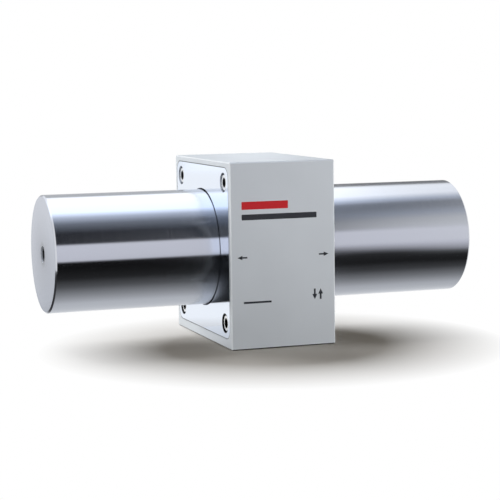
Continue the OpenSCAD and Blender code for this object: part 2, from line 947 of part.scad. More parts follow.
case();
drive_end_plate();
load_end_plate();
drive_plate_screws();
load_plate_screws();
torsion_shaft();
strain_gauges();
drive_inner_race();
load_inner_race();
drive_outer_race();
load_outer_race();
drive_cage();
load_cage();
drive_balls();
load_balls();
drive_shields();
load_shields();
drive_retaining_ring();
load_retaining_ring();
preload_spring();
supply_rotor_core();
signal_rotor_core();
supply_rotor_coil();
signal_rotor_coil();
supply_stator_core();
signal_stator_core();
supply_stator_coil();
signal_stator_coil();
speed_ring();
speed_pickup();
rotor_board();
rotor_board_parts();
rotor_board_spacers();
rotor_board_screws();
main_board();
main_board_parts();
board_standoffs();
board_screws();
supply_connector_shell();
signal_connector_shell();
supply_connector_insert();
signal_connector_insert();
connector_gaskets();
connector_screws();
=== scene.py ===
# The torque sensor's solids are loaded first: they stand in one frame, in metres, on the middle of the base.
# The shaft runs along X from the drive end to the load end, and the front of the case looks along -Y.
import math

import bmesh
import bpy
from mathutils import Matrix, Vector


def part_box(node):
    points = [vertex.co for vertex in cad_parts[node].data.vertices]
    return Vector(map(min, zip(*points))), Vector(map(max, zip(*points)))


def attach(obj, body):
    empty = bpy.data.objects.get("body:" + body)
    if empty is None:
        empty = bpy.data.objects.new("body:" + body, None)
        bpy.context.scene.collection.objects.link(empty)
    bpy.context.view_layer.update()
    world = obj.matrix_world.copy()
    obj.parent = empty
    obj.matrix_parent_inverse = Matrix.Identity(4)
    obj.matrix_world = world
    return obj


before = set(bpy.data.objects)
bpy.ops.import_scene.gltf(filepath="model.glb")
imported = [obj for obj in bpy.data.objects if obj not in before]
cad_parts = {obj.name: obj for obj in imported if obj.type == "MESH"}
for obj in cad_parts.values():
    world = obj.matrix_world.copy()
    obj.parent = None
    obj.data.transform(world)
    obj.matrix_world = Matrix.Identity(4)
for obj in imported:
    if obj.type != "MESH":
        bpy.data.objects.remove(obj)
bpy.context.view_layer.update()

# Measuring shaft: one bar of alloy steel, turned between centres, hardened, then ground and polished.
# The wheel leaves fine rings round it, so reflections run as straight bands along it, and fray a little from
# ring to ring. The end faces keep the fine spiral of the turning tool, and the lathe centres stay dull, with
# painted shade in and round them.
mm = 0.001
shaft_low, shaft_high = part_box("torsion_shaft")
shaft_axis = (shaft_low + shaft_high) / 2
end_x = shaft_high.x - shaft_axis.x
end_r = shaft_high.z - shaft_axis.z
face_from = end_x - 0.3 * mm
face_to = end_x - 0.1 * mm
face_roughness = 0.25
face_streak = 0.2
centre_from = 8.4 * mm
centre_to = 7.6 * mm
centre_roughness = 0.6
centre_metal = 0.1
gloss_spread = 0.12
quarter_turn = 0.25


def linear(hex_colour):
    """Turns an sRGB hex colour into the linear colour that a shader takes."""
    parts = [int(hex_colour[i:i + 2], 16) / 255 for i in (1, 3, 5)]
    return [c / 12.92 if c <= 0.04045 else ((c + 0.055) / 1.055) ** 2.4 for c in parts] + [1]


def new_material(name):
    """Starts an empty node material and gives it back with its node tree."""
    material = bpy.data.materials.new(name)
    material.use_nodes = True
    material.node_tree.nodes.clear()
    return material, material.node_tree


def add_node(tree, kind, inputs=None, **settings):
    """Adds a node, sets its options, and sets or links each input that is named."""
    made = tree.nodes.new("ShaderNode" + kind)
    for option, value in settings.items():
        setattr(made, option, value)
    for name, value in (inputs or {}).items():
        if isinstance(value, bpy.types.NodeSocket):
            tree.links.new(value, made.inputs[name])
        else:
            made.inputs[name].default_value = value
    return made


def dress(material, *names):
    """Gives a material to solids of the frame, by name."""
    for name in names:
        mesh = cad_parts[name].data
        mesh.materials.clear()
        mesh.materials.append(material)


def turned_metal(name, colour, roughness, ring_mm, ring_depth_mm, wave_mm, wave_depth_mm, streak=0.6,
                 faced=None):
    """Metal that was turned or ground about the shaft axis, so reflections are drawn out across its rings.
    The rings are drawn coarser than real ones, so that they show, with a slow unevenness between them.
    Where faced is given, it holds the colours of the shaft's ends by their distance from the axis, in mm; its
    darkest colours are painted shade in and round the lathe centre."""
    material, tree = new_material(name)
    place = add_node(tree, "TexCoord").outputs["Object"]
    about_axis = add_node(tree, "Mapping", {"Vector": place, "Location": -shaft_axis}).outputs["Vector"]
    axes = add_node(tree, "SeparateXYZ", {"Vector": about_axis})
    across = add_node(tree, "CombineXYZ", {"Y": axes.outputs["Y"], "Z": axes.outputs["Z"]}).outputs["Vector"]
    radius = add_node(tree, "VectorMath", {0: across}, operation="LENGTH").outputs["Value"]
    along = add_node(tree, "Math", {0: axes.outputs["X"], 1: radius}, operation="ADD").outputs["Value"]
    rings = add_node(tree, "TexNoise", {"W": along, "Scale": 1 / (ring_mm * mm), "Detail": 3},
                     noise_dimensions="1D").outputs["Fac"]
    stretch = (1 / (ring_mm * mm), 1 / (wave_mm * mm), 1 / (wave_mm * mm))
    uneven = add_node(tree, "Mapping", {"Vector": about_axis, "Scale": stretch}).outputs["Vector"]
    waves = add_node(tree, "TexNoise", {"Vector": uneven, "Scale": 1, "Detail": 1}).outputs["Fac"]
    fine = add_node(tree, "Bump", {"Height": rings, "Distance": ring_depth_mm * mm, "Strength": 1})
    slow = add_node(tree, "Bump", {"Height": waves, "Distance": wave_depth_mm * mm, "Strength": 1,
                                   "Normal": fine.outputs["Normal"]})
    gloss = add_node(tree, "MapRange", {
        "Value": rings, "From Min": 0.3, "From Max": 0.7,
        "To Min": (1 - gloss_spread) * roughness, "To Max": (1 + gloss_spread) * roughness}).outputs["Result"]
    tint = linear(colour)
    metal = 1
    if faced:
        out = add_node(tree, "Math", {0: axes.outputs["X"]}, operation="ABSOLUTE").outputs["Value"]
        face = add_node(tree, "MapRange", {"Value": out, "From Min": face_from, "From Max": face_to})
        face = face.outputs["Result"]
        centre = add_node(tree, "MapRange", {"Value": radius, "From Min": centre_from, "From Max": centre_to})
        centre = centre.outputs["Result"]
        share = add_node(tree, "MapRange", {"Value": radius, "From Max": end_r}).outputs["Result"]
        centre_shade_and_end_tone = add_node(tree, "ValToRGB", {"Fac": share})
        while len(centre_shade_and_end_tone.color_ramp.elements) < len(faced):
            centre_shade_and_end_tone.color_ramp.elements.new(1)
        for element, (ring_r, ring_colour) in zip(centre_shade_and_end_tone.color_ramp.elements, faced):
            element.position = ring_r * mm / end_r
            element.color = linear(ring_colour)
        for part, part_roughness in ((face, face_roughness), (centre, centre_roughness)):
            tint = add_node(tree, "MixRGB", {"Fac": part, "Color1": tint, "Color2": centre_shade_and_end_tone.outputs["Color"]})
            tint = tint.outputs["Color"]
            gloss = add_node(tree, "MapRange", {"Value": part, "To Min": gloss, "To Max": part_roughness})
            gloss = gloss.outputs["Result"]
        metal = add_node(tree, "MapRange", {"Value": centre, "To Min": 1, "To Max": centre_metal})
        metal = metal.outputs["Result"]
        streak = add_node(tree, "MapRange", {"Value": face, "To Min": streak, "To Max": face_streak})
        streak = streak.outputs["Result"]
    round_axis = add_node(tree, "Tangent", direction_type="RADIAL", axis="X").outputs["Tangent"]
    shader = add_node(tree, "BsdfPrincipled", {
        "Base Color": tint, "Metallic": metal, "Roughness": gloss,
        "Anisotropic": streak, "Anisotropic Rotation": quarter_turn, "Tangent": round_axis,
        "Normal": slow.outputs["Normal"]})
    add_node(tree, "OutputMaterial", {"Surface": shader.outputs["BSDF"]})
    return material


# The end colours are painted shade: black in the lathe centre's bore, and a grey ring round its mouth that
# fades out towards the rim.
ground_steel = turned_metal("ground_steel", "#CFD2D9", roughness=0.155, ring_mm=1.2, ring_depth_mm=0.001,
                            wave_mm=30, wave_depth_mm=0.008, streak=1,
                            faced=((7, "#050607"), (7.5, "#A8ADB7"), (8, "#A8ADB7"), (8.5, "#82878F"),
                                   (13, "#A2A7B3"), (25, "#ABB0BC"), (45, "#B5BAC6")))
dress(ground_steel, "torsion_shaft")

# Bearings: hardened chrome steel races and balls, lapped bright, in brass cages behind thin steel shields.
# Dark spring steel rings snap into the shaft's grooves, and a wave spring of the same steel loads one side.
bearing_steel = turned_metal("lapped_bearing_steel", "#C9CBCF", roughness=0.14, ring_mm=0.6,
                             ring_depth_mm=0.001, wave_mm=20, wave_depth_mm=0.001)
dress(bearing_steel, "drive_inner_race", "load_inner_race", "drive_outer_race", "load_outer_race",
      "drive_balls", "load_balls")
cage_brass = turned_metal("turned_brass", "#C9A45C", roughness=0.3, ring_mm=0.5, ring_depth_mm=0.004,
                          wave_mm=20, wave_depth_mm=0.001)
dress(cage_brass, "drive_cage", "load_cage", "rotor_board_spacers", "board_standoffs")
spring_steel = turned_metal("blued_spring_steel", "#5A5D66", roughness=0.35, ring_mm=0.7,
                            ring_depth_mm=0.003, wave_mm=12, wave_depth_mm=0.002)
dress(spring_steel, "drive_shields", "load_shields", "drive_retaining_ring", "load_retaining_ring",
      "preload_spring", "speed_ring")


# Rotor and stator of the rotary transformers: pressed and sintered ferrite rings, dull and nearly black,
# with windings of enamelled copper wire in their grooves. The strain gauges on the shaft's neck are etched
# from bronze coloured foil and bonded on.
def speckled_solid(name, colour, spot_colour, spot_mm, roughness, bump_mm, metal=0):
    """A solid with fine speckles and a slightly rough skin, as pressed, moulded or plated parts have.
    The speckles are drawn coarser than real ones, so that they show."""
    material, tree = new_material(name)
    place = add_node(tree, "TexCoord").outputs["Object"]
    grain = add_node(tree, "TexNoise", {"Vector": place, "Scale": 1 / (spot_mm * mm), "Detail": 4})
    grain = grain.outputs["Fac"]
    share = add_node(tree, "MapRange", {"Value": grain, "From Min": 0.55, "From Max": 0.75}).outputs["Result"]
    mixed = add_node(tree, "ValToRGB", {"Fac": share})
    mixed.color_ramp.elements[0].color = linear(colour)
    mixed.color_ramp.elements[1].color = linear(spot_colour)
    skin = add_node(tree, "Bump", {"Height": grain, "Distance": bump_mm * mm, "Strength": 1})
    shader = add_node(tree, "BsdfPrincipled", {
        "Base Color": mixed.outputs["Color"], "Metallic": metal, "Roughness": roughness,
        "Normal": skin.outputs["Normal"]})
    add_node(tree, "OutputMaterial", {"Surface": shader.outputs["BSDF"]})
    return material


ferrite = speckled_solid("sintered_ferrite", "#2B2B2E", "#3D3D42", spot_mm=0.4, roughness=0.6, bump_mm=0.01)
dress(ferrite, "supply_rotor_core", "signal_rotor_core", "supply_stator_core", "signal_stator_core")
copper_wire = turned_metal("enamelled_copper", "#B8653A", roughness=0.3, ring_mm=0.4, ring_depth_mm=0.05,
                           wave_mm=40, wave_depth_mm=0.001)
dress(copper_wire, "supply_rotor_coil", "signal_rotor_coil", "supply_stator_coil", "signal_stator_coil")
gauge_foil = turned_metal("gauge_foil", "#C08A4A", roughness=0.35, ring_mm=0.8, ring_depth_mm=0.01,
                          wave_mm=10, wave_depth_mm=0.001)
dress(gauge_foil, "strain_gauges")

# Circuit boards: glass cloth laminate under green solder mask, with black moulded chips and light barrier.
# The mask is glossy, and the weave of the cloth shows through it as faint specks.
laminate = speckled_solid("solder_mask", "#0E5A2E", "#157040", spot_mm=0.8, roughness=0.35, bump_mm=0.004)
dress(laminate, "rotor_board", "main_board")
moulded_black = speckled_solid("moulded_black", "#1B1B1D", "#242427", spot_mm=0.5, roughness=0.5,
                               bump_mm=0.006)
dress(moulded_black, "rotor_board_parts", "main_board_parts", "speed_pickup",
      "supply_connector_insert", "signal_connector_insert")

# Housing block: one block of aluminium, milled square, bead blasted and clear anodised.
# The blasted skin scatters light so widely that it reads as an even pale grey. The chamfers were cut last, so
# they are bare, and their paler colour is partly a painted highlight. The chamfers round the base are painted
# dark, as painted shade where the block meets the floor. The pits are drawn coarse enough to show.
blast_mm = 0.7
pit_depth = 0.006 * mm
cloud_mm = 60
skin_metal = 0.45
chamfer_metal = 0.3
chamfer_roughness = 0.35
blasted_aluminium, tree = new_material("blasted_aluminium")
coords = add_node(tree, "TexCoord")
place = coords.outputs["Object"]
pits = add_node(tree, "TexNoise", {"Vector": place, "Scale": 1 / (blast_mm * mm), "Detail": 3}).outputs["Fac"]
clouds = add_node(tree, "TexNoise", {"Vector": place, "Scale": 1 / (cloud_mm * mm), "Detail": 2})
shade = add_node(tree, "ValToRGB", {"Fac": clouds.outputs["Fac"]})
shade.color_ramp.elements[0].position = 0.3
shade.color_ramp.elements[0].color = linear("#D6DBDF")
shade.color_ramp.elements[1].position = 0.7
shade.color_ramp.elements[1].color = linear("#DBE0E4")
facing = add_node(tree, "VectorMath", {0: coords.outputs["Normal"]}, operation="ABSOLUTE").outputs["Vector"]
facing_axes = add_node(tree, "SeparateXYZ", {"Vector": facing})
flatness = facing_axes.outputs["X"]
for axis in ("Y", "Z"):
    flatness = add_node(tree, "Math", {0: flatness, 1: facing_axes.outputs[axis]}, operation="MAXIMUM")
    flatness = flatness.outputs["Value"]
chamfer = add_node(tree, "MapRange", {"Value": flatness, "From Min": 0.97, "From Max": 0.8}).outputs["Result"]
# Painted highlight: the chamfers take a paler colour as well as their own gloss, for the bright lines along
# the edges.
colour = add_node(tree, "MixRGB", {"Fac": chamfer, "Color1": shade.outputs["Color"],
                                   "Color2": linear("#EEF2F6")}).outputs["Color"]
# Painted shade: the chamfers that face down are painted near black, for the shade where the block stands on
# the floor.
upward = add_node(tree, "SeparateXYZ", {"Vector": coords.outputs["Normal"]}).outputs["Z"]
painted_base_shade = add_node(tree, "MapRange", {"Value": upward, "From Min": -0.4, "From Max": -0.6,
                                     "To Max": chamfer}).outputs["Result"]
colour = add_node(tree, "MixRGB", {"Fac": painted_base_shade, "Color1": colour, "Color2": linear("#232424")})
skin = add_node(tree, "Bump", {"Height": pits, "Distance": pit_depth, "Strength": 1})
gloss = add_node(tree, "MapRange", {"Value": pits, "To Min": 0.42, "To Max": 0.56}).outputs["Result"]
gloss = add_node(tree, "MapRange", {"Value": chamfer, "To Min": gloss, "To Max": chamfer_roughness})
metal = add_node(tree, "MapRange", {"Value": chamfer, "To Min": skin_metal, "To Max": chamfer_metal})
shader = add_node(tree, "BsdfPrincipled", {
    "Base Color": colour.outputs["Color"], "Metallic": metal.outputs["Result"],
    "Roughness": gloss.outputs["Result"], "Normal": skin.outputs["Normal"]})
add_node(tree, "OutputMaterial", {"Surface": shader.outputs["BSDF"]})
dress(blasted_aluminium, "case")

# End plates: aluminium, let into the ends of the housing, fly cut and polished until they mirror the shaft.
# A faint straight grain from the last polish is left across them, drawn coarse enough to show. Their broken
# edges and the screws' counterbores stay dull. The rim of each plate is painted grey, as painted shade in the
# gap round it, and the counterbores are painted darker towards the bottom, as painted shade, the lower ones
# near black.
plate_half_w = 80 * mm
plate_half_h = 79 * mm
plate_corner = 10 * mm
plate_edge = 0.45 * mm
bore_y = 66 * mm
bore_z = 65 * mm
bore_r = 9 * mm
grain_mm = 0.5
grain_length_mm = 40
grain_depth = 0.0006 * mm
dull_roughness = 0.45


def plate_corner_place(tree):
    """Gives a point's place from the shaft axis, folded into one corner of the plates, its distance from the
    axis of the counterbore there, and its height, from 0 at the lower counterbores to 1 at the upper ones."""
    place = add_node(tree, "TexCoord").outputs["Object"]
    about_axis = add_node(tree, "Mapping", {"Vector": place, "Location": -shaft_axis}).outputs["Vector"]
    folded = add_node(tree, "VectorMath", {0: about_axis}, operation="ABSOLUTE").outputs["Vector"]
    folded = add_node(tree, "VectorMath", {0: folded, 1: (0, 1, 1)}, operation="MULTIPLY").outputs["Vector"]
    from_bore = add_node(tree, "VectorMath", {0: folded, 1: (0, bore_y, bore_z)}, operation="DISTANCE")
    height = add_node(tree, "SeparateXYZ", {"Vector": about_axis}).outputs["Z"]
    height = add_node(tree, "MapRange", {"Value": height, "From Min": -bore_z, "From Max": bore_z})
    return folded, from_bore.outputs["Value"], height.outputs["Result"]


polished_aluminium, tree = new_material("polished_aluminium")
place = add_node(tree, "TexCoord").outputs["Object"]
grain_scale = (1 / (grain_mm * mm), 1 / (grain_length_mm * mm), 1 / (grain_mm * mm))
stretched = add_node(tree, "Mapping", {"Vector": place, "Scale": grain_scale}).outputs["Vector"]
grain = add_node(tree, "TexNoise", {"Vector": stretched, "Scale": 1, "Detail": 2}).outputs["Fac"]
lines = add_node(tree, "Bump", {"Height": grain, "Distance": grain_depth, "Strength": 1})
gloss = add_node(tree, "MapRange", {"Value": grain, "To Min": 0.05, "To Max": 0.13}).outputs["Result"]
folded, from_bore, height = plate_corner_place(tree)
corner_at = (0, plate_half_w - plate_corner, plate_half_h - plate_corner)
past_corner = add_node(tree, "VectorMath", {0: folded, 1: corner_at}, operation="SUBTRACT").outputs["Vector"]
past_corner = add_node(tree, "VectorMath", {0: past_corner, 1: (0, 0, 0)}, operation="MAXIMUM")
outward = add_node(tree, "VectorMath", {0: past_corner.outputs["Vector"]}, operation="LENGTH")
edge = add_node(tree, "MapRange", {
    "Value": outward.outputs["Value"], "From Min": plate_corner - 1.2 * plate_edge,
    "From Max": plate_corner - plate_edge}).outputs["Result"]
bore = add_node(tree, "MapRange", {"Value": from_bore, "From Min": 1.03 * bore_r,
                                   "From Max": 1.01 * bore_r}).outputs["Result"]
dull = add_node(tree, "Math", {0: edge, 1: bore}, operation="MAXIMUM").outputs["Value"]
# Painted shade: a grey rim for the gap round the plate, and counterbores painted darker from the upper to the
# lower ones.
colour = add_node(tree, "MixRGB", {"Fac": edge, "Color1": linear("#E5EDF9"),
                                   "Color2": linear("#84878C")}).outputs["Color"]
painted_recess_shade = add_node(tree, "MixRGB", {"Fac": height, "Color1": linear("#26282C"), "Color2": linear("#D2D6DC")})
colour = add_node(tree, "MixRGB", {"Fac": bore, "Color1": colour, "Color2": painted_recess_shade.outputs["Color"]})
gloss = add_node(tree, "MapRange", {"Value": dull, "To Min": gloss, "To Max": dull_roughness})
shader = add_node(tree, "BsdfPrincipled", {
    "Base Color": colour.outputs["Color"], "Metallic": 1, "Roughness": gloss.outputs["Result"],
    "Normal": lines.outputs["Normal"]})
add_node(tree, "OutputMaterial", {"Surface": shader.outputs["BSDF"]})
dress(polished_aluminium, "drive_end_plate", "load_end_plate")

# Screws: bright nickel plated steel, cold headed, with broached sockets or milled slots.
# The plating is smooth but not polished, so the heads glint softly. The sockets of the plate screws are
# painted dark, as painted shade, the lower ones darkest.
socket_r = 4.75 * mm
screw_nickel = speckled_solid("screw_nickel", "#E9EBEE", "#F2F3F5", spot_mm=1.5, roughness=0.25,
                              bump_mm=0.004, metal=1)
tree = screw_nickel.node_tree
_, from_bore, height = plate_corner_place(tree)
socket = add_node(tree, "MapRange", {"Value": from_bore, "From Min": 1.02 * socket_r,
                                     "From Max": 0.98 * socket_r}).outputs["Result"]
plating = tree.nodes["Color Ramp"].outputs["Color"]
# Painted shade in the sockets, darker towards the lower screws.
painted_recess_shade = add_node(tree, "MixRGB", {"Fac": height, "Color1": linear("#101114"), "Color2": linear("#8A8C91")})
colour = add_node(tree, "MixRGB", {"Fac": socket, "Color1": plating, "Color2": painted_recess_shade.outputs["Color"]})
tree.links.new(colour.outputs["Color"], tree.nodes["Principled BSDF"].inputs["Base Color"])
dress(screw_nickel, "drive_plate_screws", "load_plate_screws", "rotor_board_screws", "board_screws",
      "connector_screws")

# Connector shells: turned brass, nickel plated, screwed to the back on black rubber gaskets.
# Their barrels carry a fine thread for the cable's coupling ring, cut from near the rim to the flange.
shell_nickel = speckled_solid("shell_nickel", "#B4B2AC", "#C2C0BA", spot_mm=1.2, roughness=0.3,
                              bump_mm=0.003, metal=1)
dress(shell_nickel, "supply_connector_shell", "signal_connector_shell")
gasket_rubber = speckled_solid("gasket_rubber", "#1C1C1C", "#232323", spot_mm=0.6, roughness=0.8,
                               bump_mm=0.01)
dress(gasket_rubber, "connector_gaskets")
barrel_r = 7.5 * mm
thread_pitch = 1.0 * mm
thread_half_w = 0.45 * thread_pitch
thread_depth = 0.45 * mm
thread_root = 0.1 * mm
thread_l = 6.5 * mm
thread_rim = 0.8 * mm
thread_steps = 48


def add_object(name, bm, material):
    """Makes an object of a finished mesh and gives it its material."""
    mesh = bpy.data.meshes.new(name)
    bm.to_mesh(mesh)
    bm.free()
    mesh.materials.append(material)
    made = bpy.data.objects.new(name, mesh)
    bpy.context.scene.collection.objects.link(made)
    return made


def add_piece(name, bm, material, body):
    """Adds a piece of the sensor: outward normals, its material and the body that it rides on."""
    bmesh.ops.recalc_face_normals(bm, faces=bm.faces)
    piece = add_object(name, bm, material)
    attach(piece, body)


for end in ("supply", "signal"):
    shell_low, shell_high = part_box(end + "_connector_shell")
    middle = (shell_low + shell_high) / 2
    first_y = shell_high.y - thread_rim - thread_l
    bm = bmesh.new()
    ridge = [bm.verts.new((middle.x + reach, first_y + along, middle.z)) for reach, along in (
        (barrel_r - thread_root, -thread_half_w), (barrel_r + thread_depth, 0),
        (barrel_r - thread_root, thread_half_w))]
    face = bm.faces.new(ridge)
    turns = thread_l / thread_pitch
    bmesh.ops.spin(bm, geom=[*ridge, *face.edges, face], cent=(middle.x, 0, middle.z), axis=(0, 1, 0),
                   dvec=(0, thread_pitch / thread_steps, 0), angle=2 * math.pi * turns,
                   steps=int(thread_steps * turns))
    add_piece(end + "_connector_thread", bm, shell_nickel, "housing")

# Contacts: turned brass sockets, plated with gold, pressed into the holes of the moulded inserts.
# Each shows as a thin bright ring round a dark bore.
contact_gold = speckled_solid("contact_gold", "#D9B25A", "#E2BE6C", spot_mm=0.8, roughness=0.2,
                              bump_mm=0.002, metal=1)
contact_r = 0.66 * mm
contact_bore_r = 0.45 * mm
contact_l = 5.2 * mm
contact_sunk = 0.25 * mm
contact_lip_w = 0.08 * mm
contact_lip_l = 0.12 * mm
contact_steps = 20
outer_ring_r = 4.375 * mm
inner_ring_r = 1.75 * mm
contact_rings = {"supply": ((5, outer_ring_r), (1, 0)), "signal": ((9, outer_ring_r), (3, inner_ring_r))}
for end, rings in contact_rings.items():
    insert_low, insert_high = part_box(end + "_connector_insert")
    middle = (insert_low + insert_high) / 2
    mouth_y = insert_high.y - contact_sunk
    bm = bmesh.new()
    for count, ring_r in rings:
        for i in range(count):
            turn = 2 * math.pi * i / count
            at = Vector((middle.x + ring_r * math.cos(turn), 0, middle.z + ring_r * math.sin(turn)))
            wall = [bm.verts.new(at + Vector((reach, along, 0))) for reach, along in (
                (contact_bore_r, mouth_y - contact_l), (contact_r, mouth_y - contact_l),
                (contact_r, mouth_y), (contact_bore_r + contact_lip_w, mouth_y),
                (contact_bore_r, mouth_y - contact_lip_l))]
            edges = [bm.edges.new((wall[k], wall[(k + 1) % len(wall)])) for k in range(len(wall))]
            bmesh.ops.spin(bm, geom=[*wall, *edges], cent=at, axis=(0, 1, 0), angle=2 * math.pi,
                           steps=contact_steps, use_merge=True)
    add_piece(end + "_connector_contacts", bm, contact_gold, "housing")

# Printed marks: two inks, screened on the front of the housing and baked, a hair proud of the metal.
# A red bar over a dark rule, a small arrow towards each end of the shaft, a pair of arrows and a fine line.
ink_t = 0.04 * mm
ink_sunk = 0.01 * mm
arrow_head = 0.5
arrow_stem = 0.55
arrow_stem_w = 0.36
arrow_corner_mm = 0.12
front_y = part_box("case")[0].y


def ink(name, colour, spot_colour):
    """Baked screen ink: an even field with a faint unevenness from the mesh of the screen."""
    return speckled_solid(name, colour, spot_colour, spot_mm=0.9, roughness=0.45, bump_mm=0.002)


def print_bar(bm, x_from, x_to, z_from, z_to, corner):
    """Adds one flat bar of ink with rounded corners. Millimetres, from the shaft axis."""
    sheet = bmesh.ops.create_grid(bm, x_segments=1, y_segments=1, size=0.5)["verts"]
    bmesh.ops.scale(bm, verts=sheet, vec=((x_to - x_from) * mm, (z_to - z_from) * mm, 1))
    place_print(bm, sheet, (x_from + x_to) / 2, (z_from + z_to) / 2, 0, corner)


def print_arrow(bm, x, z, length, width, turn):
    """Adds one arrow of ink about its middle: a stem and a triangular head, turned from +X by turn."""
    head = bmesh.ops.create_circle(bm, cap_ends=True, segments=3, radius=0.5)["verts"]
    bmesh.ops.rotate(bm, verts=head, cent=(0, 0, 0), matrix=Matrix.Rotation(-math.pi / 2, 3, "Z"))
    span = max(v.co.x for v in head) - min(v.co.x for v in head)
    rise = max(v.co.y for v in head) - min(v.co.y for v in head)
    bmesh.ops.scale(bm, verts=head, vec=(arrow_head * length * mm / span, width * mm / rise, 1))
    bmesh.ops.translate(bm, verts=head, vec=(length * mm / 2 - max(v.co.x for v in head), 0, 0))
    place_print(bm, head, x, z, turn, arrow_corner_mm)
    stem = bmesh.ops.create_grid(bm, x_segments=1, y_segments=1, size=0.5)["verts"]
    bmesh.ops.scale(bm, verts=stem, vec=(arrow_stem * length * mm, arrow_stem_w * width * mm, 1))
    bmesh.ops.translate(bm, verts=stem, vec=((arrow_stem - 1) / 2 * length * mm, 0, 0))
    place_print(bm, stem, x, z, turn, arrow_corner_mm)


def place_print(bm, sheet, x, z, turn, corner):
    """Rounds a flat patch's corners, stands it on the front of the housing and gives it its thickness."""
    bmesh.ops.rotate(bm, verts=sheet, cent=(0, 0, 0), matrix=Matrix.Rotation(turn, 3, "Z"))
    bmesh.ops.rotate(bm, verts=sheet, cent=(0, 0, 0), matrix=Matrix.Rotation(math.pi / 2, 3, "X"))
    bmesh.ops.translate(bm, verts=sheet, vec=(x * mm, front_y + ink_sunk, shaft_axis.z + z * mm))
    rounded = bmesh.ops.bevel(bm, geom=sheet, offset=corner * mm, offset_type="OFFSET", affect="VERTICES",
                              segments=4, profile=0.5, material=-1)
    raised = bmesh.ops.extrude_face_region(bm, geom=rounded["verts"][0].link_faces[:])["geom"]
    bmesh.ops.translate(bm, verts=[v for v in raised if isinstance(v, bmesh.types.BMVert)],
                        vec=(0, -ink_t - ink_sunk, 0))


red_ink = ink("red_screen_ink", "#C41820", "#CE1F27")
bm = bmesh.new()
print_bar(bm, -40, 5, 40.8, 48, 0.6)
add_piece("red_print", bm, red_ink, "housing")
dark_ink = ink("dark_screen_ink", "#24262C", "#2B2D33")
bm = bmesh.new()
print_bar(bm, -40, 33, 31.2, 36.4, 0.6)
print_bar(bm, -39, -12, -45.4, -43.6, 0.4)
print_arrow(bm, -39.8, -3, 9.6, 4, math.pi)
print_arrow(bm, 39.8, -3, 9.6, 4, 0)
print_arrow(bm, 30.6, -40, 10, 4.8, -math.pi / 2)
print_arrow(bm, 36.4, -40, 10, 4.8, math.pi / 2)
add_piece("dark_print", bm, dark_ink, "housing")

# Floor: a wide white sheet of paper. It takes the sensor's soft shadow near by, and further off it is plain
# white to the eye and to the polished metal, so that no horizon shows. A trace of warm glow tints the shadow.
floor_w = 12.0
floor_lift = 0.027
# The white mixes in from a share of an oval with this middle and these half axes, and is full at its rim.
shade_at = (-0.004, -0.07)
white_half = (0.22, 0.214)
white_from = 0.465


def seen_ray(tree):
    """Gives 1 where the camera, metal or glass looks at a surface, and 0 where light only bounces from it."""
    paths = add_node(tree, "LightPath")
    seen = paths.outputs["Is Camera Ray"]
    for kind in ("Is Glossy Ray", "Is Transmission Ray"):
        seen = add_node(tree, "Math", {0: seen, 1: paths.outputs[kind]}, operation="ADD", use_clamp=True)
        seen = seen.outputs["Value"]
    return seen


floor_paper, tree = new_material("floor_paper")
place = add_node(tree, "TexCoord").outputs["Object"]
oval = add_node(tree, "Mapping", {"Vector": place, "Location": (*shade_at, 0), "Scale": (*white_half, 1)},
                vector_type="TEXTURE")
distance = add_node(tree, "VectorMath", {0: oval.outputs["Vector"]}, operation="LENGTH").outputs["Value"]
faded = add_node(tree, "MapRange", {"Value": distance, "From Min": white_from, "From Max": 1})
seen = seen_ray(tree)
lift = add_node(tree, "Math", {0: seen, 1: floor_lift}, operation="MULTIPLY").outputs["Value"]
fade = add_node(tree, "Math", {0: seen, 1: faded.outputs["Result"]}, operation="MULTIPLY").outputs["Value"]
colour = add_node(tree, "MixRGB", {"Fac": seen, "Color1": linear("#8E8D8A"),
                                   "Color2": linear("#EEECE9")}).outputs["Color"]
paper = add_node(tree, "BsdfPrincipled", {
    "Base Color": colour, "Roughness": 1, "Specular IOR Level": 0,
    "Emission Color": linear("#FFD77C"), "Emission Strength": lift}).outputs["BSDF"]
white = add_node(tree, "Emission", {"Color": (1, 1, 1, 1), "Strength": 1}).outputs["Emission"]
mixed = add_node(tree, "MixShader", {"Fac": fade, 1: paper, 2: white}).outputs["Shader"]
add_node(tree, "OutputMaterial", {"Surface": mixed})
bm = bmesh.new()
bmesh.ops.create_grid(bm, x_segments=1, y_segments=1, size=floor_w / 2)
floor = add_object("floor", bm, floor_paper)

# Studio cards: dark flags, a pale strip and bright panels stand round the sensor, a dark cloth lies before it
# and a grey sheet behind it at the left. Only the polished metal sees them, as the bands along the shaft.
# The shade before the plate shows only where the plate mirrors the shaft.
# The cards form half a tube about the shaft axis, from one angle in degrees to the other.
card_r = 1.2
card_from = -4.2
card_to = 180
card_half_l = 1.6
card_steps = 96
card_strength = 2.0
card_tint = (0.95, 0.97, 1.0)
cool_tint = (0.84, 0.93, 1.1)
band_tint = (0.93, 0.935, 1.01)
dark_tint = (0.8, 0.92, 1.35)
# Each border of two sets of bands has its start and end along the shaft, and its lean with distance from it.
card_middle = (-0.085, -0.06, -0.346)
card_right = (0.045, 0.07, -0.346)
card_far_right = (0.13, 0.21, -0.346)
card_far_left = (-0.185, -0.21, 0.15)
card_right_end = (0.80, 1.05)
shade_turn = (math.radians(-25), math.radians(-40))
card_shade = (-0.044, -0.047, 0.252)
shade_strength = 0.05
